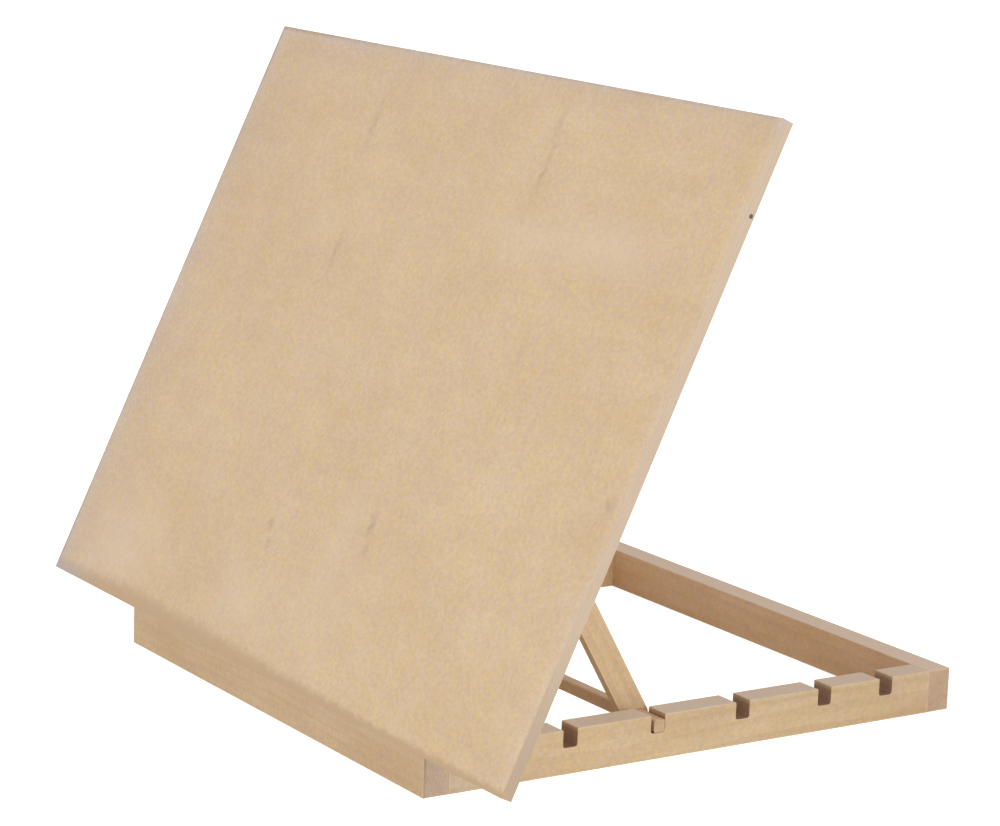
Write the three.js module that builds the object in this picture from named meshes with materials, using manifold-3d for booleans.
// Tabletop wooden artist easel: a drawing board hinged to a low open base, held up at the
// back by a two-legged prop whose cross bar drops into notches in the side rails.
// Millimetres, +Z up, +X to the artist's right, +Y to the back.
// Before the last shift, x = 0 is the middle, y = 0 the front rail's face and z = 0 the table.

import * as THREE from 'three';
import { mergeVertices } from 'three/addons/utils/BufferGeometryUtils.js';
import Module from 'manifold-3d';

const wasm = await Module();
wasm.setup();

// ---- Driving dimensions ----

const GAP = 0.3;                      // clearance round pins and between glued neighbours
const OVER = 1;                       // how far a cutter runs past the face it opens
const TILT = THREE.MathUtils.degToRad(65);

const BOARD = { width: 650, height: 470, thick: 9 };
const BASE = { width: 425, depth: 458 };
const RAIL = { thick: 20, high: 32 };
const NOTCH = { centres: [118, 192, 266, 340, 397], width: 12, depth: 13, round: 2, lip: 1 };
const HELD_NOTCH = 1;                 // the notch that the bar rests in, counted from 0

const BAR = { side: 9, edge: 0.8 };
const STRUT = { x: 181, width: 20, thick: 8 };
const PIVOT_SETBACK = 12;             // strut pivot behind the board's back face

const DOWEL = { radius: 3, length: 28, heights: [8.5, 23.5], inRail: 11.7, edge: 0.6 };

const LEAF = { length: 60, width: 19, thick: 1.2, knuckles: 5, x: 130, screws: 11.8 };
const BARREL = { radius: 2.5, bore: 1.5, room: 2.9, endRoom: 1.5 };
const PIN = { radius: 1.25, head: 2, headHigh: 0.8, edge: 0.4 };
const HINGE_SCREW = { spread: 20, head: 2.75, headDeep: 1.1, shank: 1.5, length: 9, tip: 2.4 };

const CLEAT = { length: 60, depth: 22, inner: 152, outer: 175.5, edge: 1.5 };
const CLEAT_SCREW = { spread: 20, head: 3.4, headDeep: 1.8, shank: 1.75, length: 28, tip: 2.8 };
const PIVOT_SCREW = { head: 4.6, headHigh: 2.6, shank: 2.5, length: 32, tip: 4 };
const RECESS = { reach: 0.6, deep: 0.6, arm: 0.22 };  // as shares of head, depth and reach
const WASHER = { radius: 6.5, thick: 1.2 };
const BRAD = { head: 1.4, headHigh: 0.4, shank: 0.8, length: 13, setback: 1.2, taper: 1 };

const SIDES = { tiny: 12, small: 24, large: 32 };
const ARC = { notch: 4, strut: 14 };  // straight steps in each of their arcs

// ---- Worked out from the driving dimensions ----

// Hinge axis: on top of the front rail, one leaf up, with the barrel just proud of the face.
const HINGE = { y: -BARREL.radius, z: RAIL.high + LEAF.thick };
const BOARD_BACK = LEAF.thick + GAP;  // board's back face in front of the hinge axis
const BOARD_FOOT = -2;                // board's lower edge, measured up the board from the axis

// The held bar leans on its notch's back wall and sits just off its floor.
const BAR_AT_REST = {
  y: NOTCH.centres[HELD_NOTCH] + NOTCH.width / 2 - GAP - BAR.side / 2,
  z: RAIL.high - NOTCH.depth + GAP + BAR.side / 2,
};

// Strut pivot on the board and strut length: with the board flat on the base, pivot and bar
// lie in line and the bar drops into the last notch; at TILT the same strut reaches the bar.
const PIVOT_BACK = PIVOT_SETBACK - BOARD_BACK;
const LAST_REACH = NOTCH.centres.at(-1) - HINGE.y;
const PIVOT_UP = solvePivot();
const STRUT_LENGTH = LAST_REACH - PIVOT_UP;
const PIVOT = onBoard(PIVOT_UP, -PIVOT_BACK);
const STRUT_ANGLE = Math.atan2(BAR_AT_REST.z - PIVOT.z, BAR_AT_REST.y - PIVOT.y);

// The origin goes to the middle of the whole easel's footprint.
const FRONT_EDGE = onBoard(BOARD_FOOT, BOARD_BACK + BOARD.thick).y;
const MIDDLE_Y = (FRONT_EDGE + BASE.depth) / 2;

function solvePivot() {
  const up = { y: Math.cos(TILT), z: Math.sin(TILT) };
  const foot = { y: BAR_AT_REST.y - HINGE.y, z: BAR_AT_REST.z - HINGE.z };
  const shifted = { y: foot.y - up.z * PIVOT_BACK, z: foot.z + up.y * PIVOT_BACK };
  const reachSquared = shifted.y ** 2 + shifted.z ** 2;
  const along = shifted.y * up.y + shifted.z * up.z;
  return (LAST_REACH ** 2 - reachSquared) / (2 * (LAST_REACH - along));
}

// A point in the tilted board's plane: up the board, and out of its front.
function onBoard(up, out) {
  return {
    y: HINGE.y + up * Math.cos(TILT) - out * Math.sin(TILT),
    z: HINGE.z + up * Math.sin(TILT) + out * Math.cos(TILT),
  };
}

// ---- Materials ----

const WOOD = {
  ply: material(0xd9bd92, 0.62, 0),
  pine: material(0xd6b084, 0.66, 0),
  beech: material(0xcfa678, 0.6, 0),
};
const STEEL = {
  plated: material(0xb9b6ae, 0.38, 0.9),
  bright: material(0xc9c9c6, 0.3, 0.95),
};

function material(color, roughness, metalness) {
  return new THREE.MeshStandardMaterial({ color, roughness, metalness });
}

// ---- Solids ----

// Turns a closed three.js geometry into a manifold solid.
function solid(geometry) {
  geometry.deleteAttribute('normal');
  geometry.deleteAttribute('uv');
  const merged = mergeVertices(geometry, 1e-4);
  return new wasm.Manifold(new wasm.Mesh({
    numProp: 3,
    vertProperties: new Float32Array(merged.attributes.position.array),
    triVerts: new Uint32Array(merged.index.array),
  }));
}

// Turns a manifold solid back into a three.js geometry.
function geometryOf(body) {
  const mesh = body.getMesh();
  const geometry = new THREE.BufferGeometry();
  geometry.setAttribute('position', new THREE.BufferAttribute(mesh.vertProperties, 3));
  geometry.setIndex(new THREE.BufferAttribute(mesh.triVerts, 1));
  geometry.computeVertexNormals();
  return geometry;
}

function cut(body, cutters) {
  return cutters.reduce((rest, cutter) => rest.subtract(cutter), body);
}

function join(bodies) {
  return bodies.reduce((whole, body) => whole.add(body));
}

// A box between two corners.
function block(low, high) {
  const size = high.map((value, i) => value - low[i]);
  const centre = high.map((value, i) => (value + low[i]) / 2);
  return solid(new THREE.BoxGeometry(...size).translate(...centre));
}

// A turned solid about +Z from [radius, height] pairs that start and end on the axis.
function turned(profile, sides) {
  const points = profile.map(([radius, height]) => new THREE.Vector2(radius, height));
  return solid(new THREE.LatheGeometry(points, sides).rotateX(Math.PI / 2));
}

function rod(radius, from, to, sides) {
  return turned([[0, from], [radius, from], [radius, to], [0, to]], sides);
}

// A bar section in the YZ plane, given as points, stretched along X.
function alongX(points, from, to) {
  const shape = new THREE.Shape(points.map(([y, z]) => new THREE.Vector2(y, z)));
  return alongXShape(shape, from, to);
}

function alongXShape(shape, from, to, curveSegments = 1) {
  const geometry = new THREE.ExtrudeGeometry(shape, {
    depth: to - from,
    bevelEnabled: false,
    curveSegments,
  });
  const turn = new THREE.Matrix4().makeBasis(
    new THREE.Vector3(0, 1, 0), new THREE.Vector3(0, 0, 1), new THREE.Vector3(1, 0, 0));
  return solid(geometry.applyMatrix4(turn).translate(from, 0, 0));
}

// Lays a solid made about +Z along the direction in the YZ plane at an angle from +Y.
function aim(body, angle, y, z) {
  return body.rotate([THREE.MathUtils.radToDeg(angle) - 90, 0, 0]).translate([0, y, z]);
}

// A countersunk screw pointing down -Z, its head's face at z = 0, with a cross recess.
function countersunk({ head, headDeep, shank, length, tip }) {
  const body = turned([
    [0, -length], [shank, tip - length], [shank, -headDeep], [head, 0], [0, 0],
  ], SIDES.small);
  return cut(body, crossRecess(head, headDeep, 0));
}

// Room for that screw: the same outline, one gap larger all round.
function countersunkHole({ head, headDeep, shank, length }) {
  const wide = shank + GAP;
  return turned([
    [0, -length - GAP], [wide, -length - GAP], [wide, -headDeep], [head + GAP, 0],
    [head + GAP, OVER], [0, OVER],
  ], SIDES.small);
}

// The two slots of a cross recess in the top of a screw head.
function crossRecess(head, high, top) {
  const reach = head * RECESS.reach;
  const half = reach * RECESS.arm;
  const low = top - high * RECESS.deep;
  return [
    block([-reach, -half, low], [reach, half, top + OVER]),
    block([-half, -reach, low], [half, reach, top + OVER]),
  ];
}

// ---- Base ----

const model = new THREE.Group();
const easel = new THREE.Group();
const tiltedBoard = new THREE.Group();
model.add(easel);
easel.add(tiltedBoard);
easel.position.y = -MIDDLE_Y;
tiltedBoard.position.set(0, HINGE.y, HINGE.z);
tiltedBoard.rotation.x = TILT;

function place(group, name, body, finish, side = 1, x = 0) {
  const mesh = new THREE.Mesh(geometryOf(body), finish);
  mesh.name = name;
  mesh.position.x = side * x;
  group.add(mesh);
}

const HALVES = [['left', -1], ['right', 1]];
const sideRailX = (BASE.width - RAIL.thick) / 2;

// Dowel holes in the joint between an end rail and the side rails.
// The joint's face is at y = face, and the end rail lies on its outward side.
function dowelHoles(face, outward) {
  return HALVES.flatMap(([, side]) => DOWEL.heights.map((z) => {
    const ends = dowelSpan(face, outward, GAP);
    const hole = rod(DOWEL.radius + GAP, Math.min(...ends), Math.max(...ends), SIDES.small);
    return aim(hole, 0, 0, z).translate([side * sideRailX, 0, 0]);
  }));
}

function dowelSpan(face, outward, extra) {
  const deep = DOWEL.inRail + extra;
  const far = DOWEL.length - DOWEL.inRail + extra;
  return [face + outward * deep, face - outward * far];
}

function endRail(from, face, outward) {
  const half = BASE.width / 2;
  const body = block([-half, from, 0], [half, from + RAIL.thick, RAIL.high]);
  return cut(body, dowelHoles(face, outward));
}

function frontRail() {
  const holes = hingeCentres().flatMap((x) => hingeScrewXs(x).map((screwX) => (
    countersunkHole(HINGE_SCREW).translate([screwX, leafScrewY(), HINGE.z]))));
  return cut(endRail(0, RAIL.thick, -1), holes);
}

// A notch with rounded lips at the top and rounded corners at the floor.
function notchCutter(centre) {
  const { width, depth, round, lip } = NOTCH;
  const [front, back] = [centre - width / 2, centre + width / 2];
  const low = RAIL.high - depth + round;
  const high = RAIL.high - lip;
  const quarter = Math.PI / 2;
  const shape = new THREE.Shape();
  shape.moveTo(front - lip, RAIL.high + OVER);
  shape.absarc(front - lip, high, lip, quarter, 0, true);
  shape.absarc(front + round, low, round, 2 * quarter, 3 * quarter, false);
  shape.absarc(back - round, low, round, 3 * quarter, 4 * quarter, false);
  shape.absarc(back + lip, high, lip, 2 * quarter, quarter, true);
  shape.lineTo(back + lip, RAIL.high + OVER);
  return alongXShape(shape, -RAIL.thick, RAIL.thick, ARC.notch);
}

// A notched side rail about its own middle plane.
function sideRail() {
  const half = RAIL.thick / 2;
  const from = RAIL.thick;
  const to = BASE.depth - RAIL.thick;
  const body = block([-half, from, 0], [half, to, RAIL.high]);
  const holes = [...dowelHoles(from, -1), ...dowelHoles(to, 1)];
  const nearHoles = holes.map((hole) => hole.translate([-sideRailX, 0, 0]));
  return cut(body, [...NOTCH.centres.map(notchCutter), ...nearHoles]);
}

function dowel() {
  const { radius, length, edge } = DOWEL;
  return turned([
    [0, 0], [radius - edge, 0], [radius, edge],
    [radius, length - edge], [radius - edge, length], [0, length],
  ], SIDES.small);
}

place(easel, 'front_rail', frontRail(), WOOD.pine);
place(easel, 'rear_rail', endRail(BASE.depth - RAIL.thick, BASE.depth - RAIL.thick, 1), WOOD.pine);
for (const [half, side] of HALVES) {
  place(easel, `${half}_rail`, sideRail(), WOOD.pine, side, sideRailX);
  DOWEL.heights.forEach((z, i) => {
    const level = i ? 'upper' : 'lower';
    const frontStart = RAIL.thick - DOWEL.inRail;
    const rearStart = BASE.depth - RAIL.thick + DOWEL.inRail - DOWEL.length;
    const front = aim(dowel(), 0, frontStart, z);
    const rear = aim(dowel(), 0, rearStart, z);
    place(easel, `dowel_front_${half}_${level}`, front, WOOD.beech, side, sideRailX);
    place(easel, `dowel_rear_${half}_${level}`, rear, WOOD.beech, side, sideRailX);
  });
}

// ---- Hinges ----

function hingeCentres() {
  return [-LEAF.x, LEAF.x];
}

function hingeScrewXs(x) {
  return [x - HINGE_SCREW.spread, x + HINGE_SCREW.spread];
}

function leafScrewY() {
  return HINGE.y + LEAF.screws;
}

// A leaf about the hinge axis, its plate lying along +Y with its inner face at z = 0
// and its outer face at z = -thick. Its own knuckles are the even or the odd ones.
function leaf(parity) {
  const half = LEAF.length / 2;
  const pitch = LEAF.length / LEAF.knuckles;
  const plateFrom = BARREL.room;
  const parts = [block([-half, plateFrom, -LEAF.thick], [half, LEAF.width, 0])];
  for (let i = parity; i < LEAF.knuckles; i += 2) {
    const from = -half + i * pitch + GAP / 2;
    const to = from + pitch - GAP;
    const knuckle = rod(BARREL.radius, from, to, SIDES.small).rotate([0, 90, 0]);
    parts.push(knuckle, block([from, 0, -LEAF.thick], [to, plateFrom + OVER, 0]));
  }
  const bore = rod(BARREL.bore, -half - OVER, half + OVER, SIDES.small).rotate([0, 90, 0]);
  const holes = hingeScrewXs(0).map((x) => (
    countersunkHole(HINGE_SCREW).translate([x, leafScrewY() - HINGE.y, 0])));
  return cut(join(parts), [bore, ...holes]);
}

function hingePin() {
  const half = LEAF.length / 2;
  const { radius, head, headHigh, edge } = PIN;
  return turned([
    [0, -half - headHigh], [head - edge, -half - headHigh], [head, edge - half - headHigh],
    [head, -half], [radius, -half], [radius, half - edge], [radius - edge, half], [0, half],
  ], SIDES.small).rotate([0, 90, 0]);
}

// The board's leaf is turned over, so that its plate lies on the board's side of the axis.
const boardLeaf = leaf(1).mirror([0, 0, 1]);
const boardScrew = countersunk(HINGE_SCREW).mirror([0, 0, 1]);
const screwUp = leafScrewY() - HINGE.y;

for (const [half, side] of HALVES) {
  const railLeaf = leaf(0).translate([0, HINGE.y, HINGE.z]);
  const pin = hingePin().translate([0, HINGE.y, HINGE.z]);
  place(easel, `hinge_${half}_rail_leaf`, railLeaf, STEEL.plated, side, LEAF.x);
  place(easel, `hinge_${half}_pin`, pin, STEEL.bright, side, LEAF.x);
  place(tiltedBoard, `hinge_${half}_board_leaf`, boardLeaf, STEEL.plated, side, LEAF.x);
  hingeScrewXs(0).forEach((x, i) => {
    const end = i ? 'b' : 'a';
    const railScrew = countersunk(HINGE_SCREW).translate([x, leafScrewY(), HINGE.z]);
    const upper = boardScrew.translate([x, screwUp, 0]);
    place(easel, `hinge_${half}_rail_screw_${end}`, railScrew, STEEL.bright, side, LEAF.x);
    place(tiltedBoard, `hinge_${half}_board_screw_${end}`, upper, STEEL.bright, side, LEAF.x);
  });
}

// ---- Drawing board and what is screwed to its back ----
// In this group +Y runs up the board, +Z out of its front, and the hinge axis is the origin.

const cleatBack = BOARD_BACK - GAP - CLEAT.depth;
const cleatX = (CLEAT.inner + CLEAT.outer) / 2;
const cleatScrewHeights = [PIVOT_UP - CLEAT_SCREW.spread, PIVOT_UP + CLEAT_SCREW.spread];

function drawingBoard() {
  const half = BOARD.width / 2;
  const body = block(
    [-half, BOARD_FOOT, BOARD_BACK], [half, BOARD_FOOT + BOARD.height, BOARD_BACK + BOARD.thick]);
  const hingeHoles = hingeCentres().flatMap((x) => hingeScrewXs(x).map((screwX) => (
    countersunkHole(HINGE_SCREW).mirror([0, 0, 1]).translate([screwX, screwUp, 0]))));
  const scallops = hingeCentres().map((x) => barrelScallop().translate([x, 0, 0]));
  const cleatHoles = HALVES.flatMap(([, side]) => cleatScrewHeights.map((up) => (
    cleatScrewHole().translate([side * cleatX, up, 0]))));
  return cut(body, [...hingeHoles, ...scallops, ...cleatHoles]);
}

// Room for a hinge barrel, hollowed out of the board's lower back edge.
function barrelScallop() {
  const half = LEAF.length / 2 + BARREL.endRoom;
  return rod(BARREL.room, -half, half, SIDES.large).rotate([0, 90, 0]);
}

function cleatScrewHole() {
  return countersunkHole(CLEAT_SCREW).mirror([0, 0, 1]).translate([0, 0, cleatBack]);
}

// The block that carries a strut's pivot, with its two back edges taken off.
function cleat() {
  const { length, inner, outer, edge } = CLEAT;
  const low = PIVOT_UP - length / 2;
  const high = PIVOT_UP + length / 2;
  const front = BOARD_BACK - GAP;
  const body = alongX([
    [low, front], [low, cleatBack + edge], [low + edge, cleatBack],
    [high - edge, cleatBack], [high, cleatBack + edge], [high, front],
  ], inner, outer);
  const screwHoles = cleatScrewHeights.map((up) => cleatScrewHole().translate([cleatX, up, 0]));
  const pivotHole = rod(PIVOT_SCREW.shank + GAP, pivotTip() - GAP, outer + OVER, SIDES.small);
  return cut(body, [acrossAt(pivotHole), ...screwHoles]);
}

// Lays a solid made about +Z along X, through the strut pivot.
function acrossAt(body) {
  return body.rotate([0, 90, 0]).translate([0, PIVOT_UP, -PIVOT_BACK]);
}

function outerWasherFace() {
  return STRUT.x + STRUT.thick / 2 + GAP + WASHER.thick;
}

function pivotTip() {
  return outerWasherFace() + GAP - PIVOT_SCREW.length;
}

// A domed screw: its head is the cap of a ball that passes through the rim and the top.
function pivotScrew() {
  const { head, headHigh, shank, length, tip } = PIVOT_SCREW;
  const seat = outerWasherFace() + GAP;
  const ball = (head ** 2 + headHigh ** 2) / (2 * headHigh);
  const dome = [1, 0.92, 0.8, 0.64, 0.44, 0.22, 0].map((share) => {
    const radius = head * share;
    return [radius, seat + headHigh - ball + Math.sqrt(ball ** 2 - radius ** 2)];
  });
  const body = turned([
    [0, seat - length], [shank, seat - length + tip], [shank, seat], ...dome,
  ], SIDES.small);
  return cut(body, crossRecess(head, headHigh, seat + headHigh));
}

function washer(from) {
  const to = from + WASHER.thick;
  const hole = rod(PIVOT_SCREW.shank + GAP, from - OVER, to + OVER, SIDES.small);
  return rod(WASHER.radius, from, to, SIDES.large).subtract(hole);
}

place(tiltedBoard, 'drawing_board', drawingBoard(), WOOD.ply);

// The right side's pieces are made in place, and the left side's are their mirror image.
function placePair(group, name, body, finish) {
  place(group, `right_${name}`, body, finish);
  place(group, `left_${name}`, body.mirror([1, 0, 0]), finish);
}

placePair(tiltedBoard, 'cleat', cleat(), WOOD.pine);
placePair(tiltedBoard, 'pivot_screw', acrossAt(pivotScrew()), STEEL.bright);
placePair(tiltedBoard, 'inner_washer', acrossAt(washer(innerWasherFrom())), STEEL.plated);
placePair(tiltedBoard, 'outer_washer',
  acrossAt(washer(outerWasherFace() - WASHER.thick)), STEEL.plated);
cleatScrewHeights.forEach((up, i) => {
  const screw = countersunk(CLEAT_SCREW).mirror([0, 0, 1]).translate([cleatX, up, cleatBack]);
  placePair(tiltedBoard, `cleat_screw_${i ? 'upper' : 'lower'}`, screw, STEEL.bright);
});

function innerWasherFrom() {
  return STRUT.x - STRUT.thick / 2 - GAP - WASHER.thick;
}

// ---- Prop: two struts and the cross bar ----
// Made where they stand at rest, from the strut pivot to the bar.

function squareSection(side, edge) {
  const half = side / 2;
  const near = half - edge;
  return [
    [-near, -half], [near, -half], [half, -near], [half, near],
    [near, half], [-near, half], [-half, near], [-half, -near],
  ].map(([y, z]) => [y + BAR_AT_REST.y, z + BAR_AT_REST.z]);
}

// A brad driven up the strut from its foot, or with more room and height the hole for it.
function bradAt(room, headHigh) {
  const seat = STRUT_LENGTH + STRUT.width / 2 - BRAD.setback;
  const [shank, head] = [BRAD.shank + room, BRAD.head + room];
  const point = seat - BRAD.length - room;
  const body = turned([
    [0, point], [shank, point + BRAD.taper], [shank, seat - BRAD.taper], [head, seat],
    [head, seat + headHigh], [0, seat + headHigh],
  ], SIDES.tiny);
  return aim(body, STRUT_ANGLE, PIVOT.y, PIVOT.z).translate([STRUT.x, 0, 0]);
}

function brad() {
  return bradAt(0, BRAD.headHigh);
}

function bradHole() {
  return bradAt(GAP, BRAD.setback + OVER);
}

function strut() {
  const radius = STRUT.width / 2;
  const shape = new THREE.Shape();
  shape.absarc(0, 0, radius, Math.PI / 2, Math.PI * 1.5, false);
  shape.absarc(STRUT_LENGTH, 0, radius, -Math.PI / 2, Math.PI / 2, false);
  const low = STRUT.x - STRUT.thick / 2;
  const high = low + STRUT.thick;
  const body = alongXShape(shape, low, high, ARC.strut)
    .rotate([THREE.MathUtils.radToDeg(STRUT_ANGLE), 0, 0])
    .translate([0, PIVOT.y, PIVOT.z]);
  const pivotHole = rod(PIVOT_SCREW.shank + GAP, low - OVER, high + OVER, SIDES.small)
    .rotate([0, 90, 0]).translate([0, PIVOT.y, PIVOT.z]);
  const section = squareSection(BAR.side + 2 * GAP, BAR.edge);
  const mortise = alongX(section, low - OVER, high + OVER);
  return cut(body, [pivotHole, mortise, bradHole()]);
}

function crossBar() {
  const half = BASE.width / 2;
  const body = alongX(squareSection(BAR.side, BAR.edge), -half, half);
  return cut(body, [bradHole(), bradHole().mirror([1, 0, 0])]);
}

placePair(easel, 'strut', strut(), WOOD.pine);
placePair(easel, 'strut_brad', brad(), STEEL.bright);
place(easel, 'cross_bar', crossBar(), WOOD.pine);

export default model;
